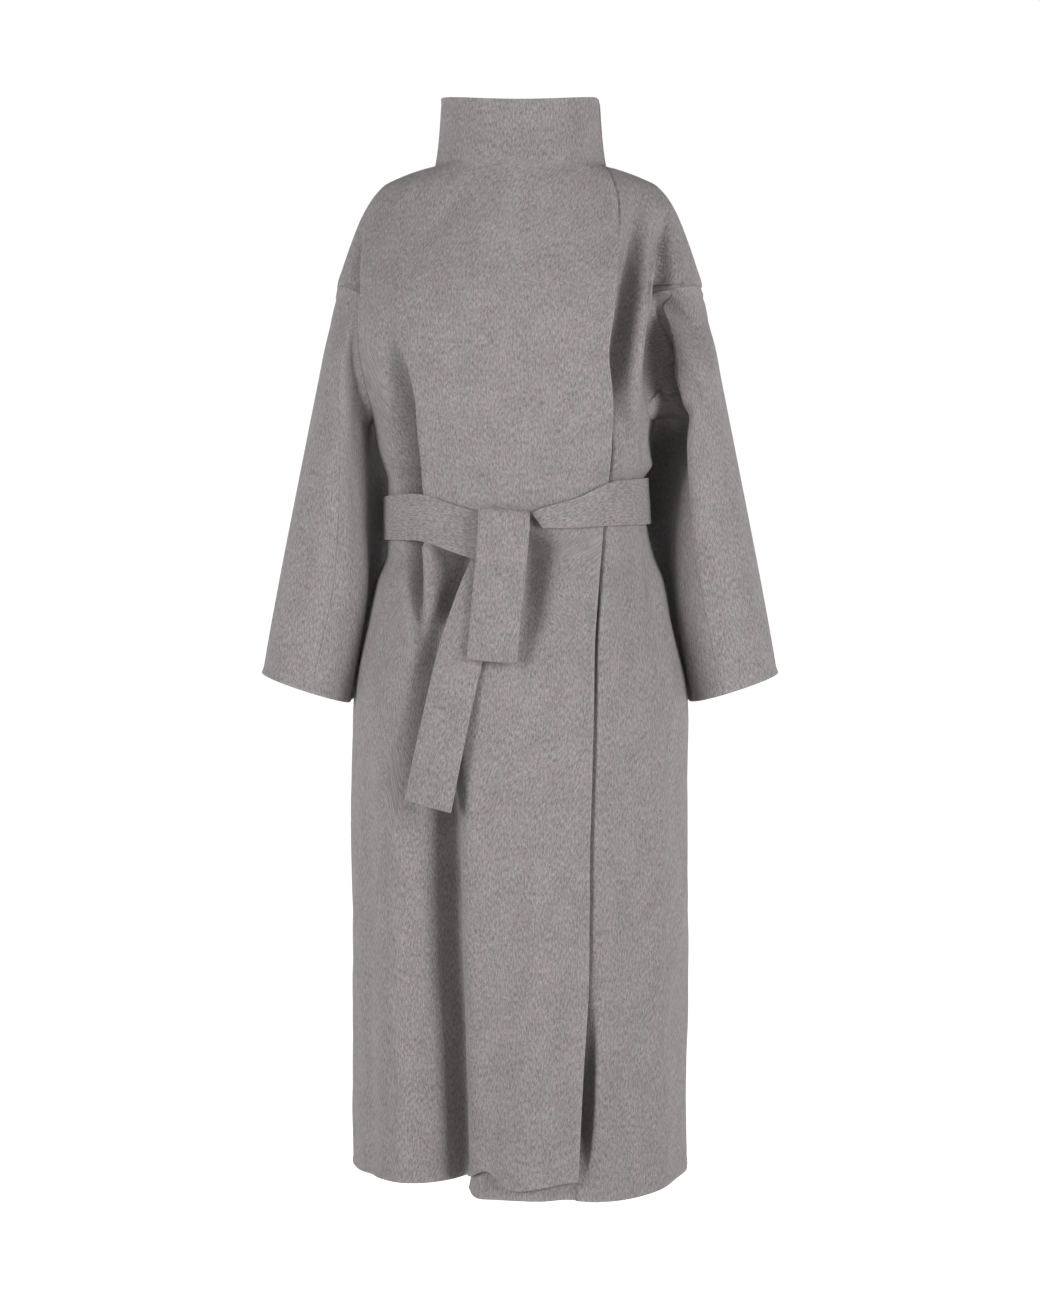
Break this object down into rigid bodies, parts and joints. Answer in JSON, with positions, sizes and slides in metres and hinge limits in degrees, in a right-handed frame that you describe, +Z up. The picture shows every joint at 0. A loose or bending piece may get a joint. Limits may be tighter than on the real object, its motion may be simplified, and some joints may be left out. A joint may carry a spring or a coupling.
{
  "type": "funnel-neck wrap coat",
  "caption": "Long wrap coat of heathered grey-taupe wool with a funnel neck, dropped shoulders, wide cropped sleeves and a tied belt, shown as worn with nobody in it.",
  "frame": {"origin": "middle of the neck's base, between the shoulders, where the coat hangs on its wearer", "axes": "+X the wearer's left, +Y back, +Z up; the front faces -Y"},
  "size_m": [0.5988, 0.3034, 1.2536],
  "materials": {
    "wool": "brushed double-faced wool, heathered, matt"
  },
  "bodies": {
    "root": {"front_outer": "wool", "front_under": "wool", "back": "wool", "collar_back": "wool", "sleeve_right_outer": "wool", "sleeve_right_inner": "wool", "sleeve_left_outer": "wool", "sleeve_left_inner": "wool", "belt_band": "wool", "belt_knot": "wool", "belt_tail_short": "wool", "belt_tail_long": "wool"}
  },
  "joints": []
}
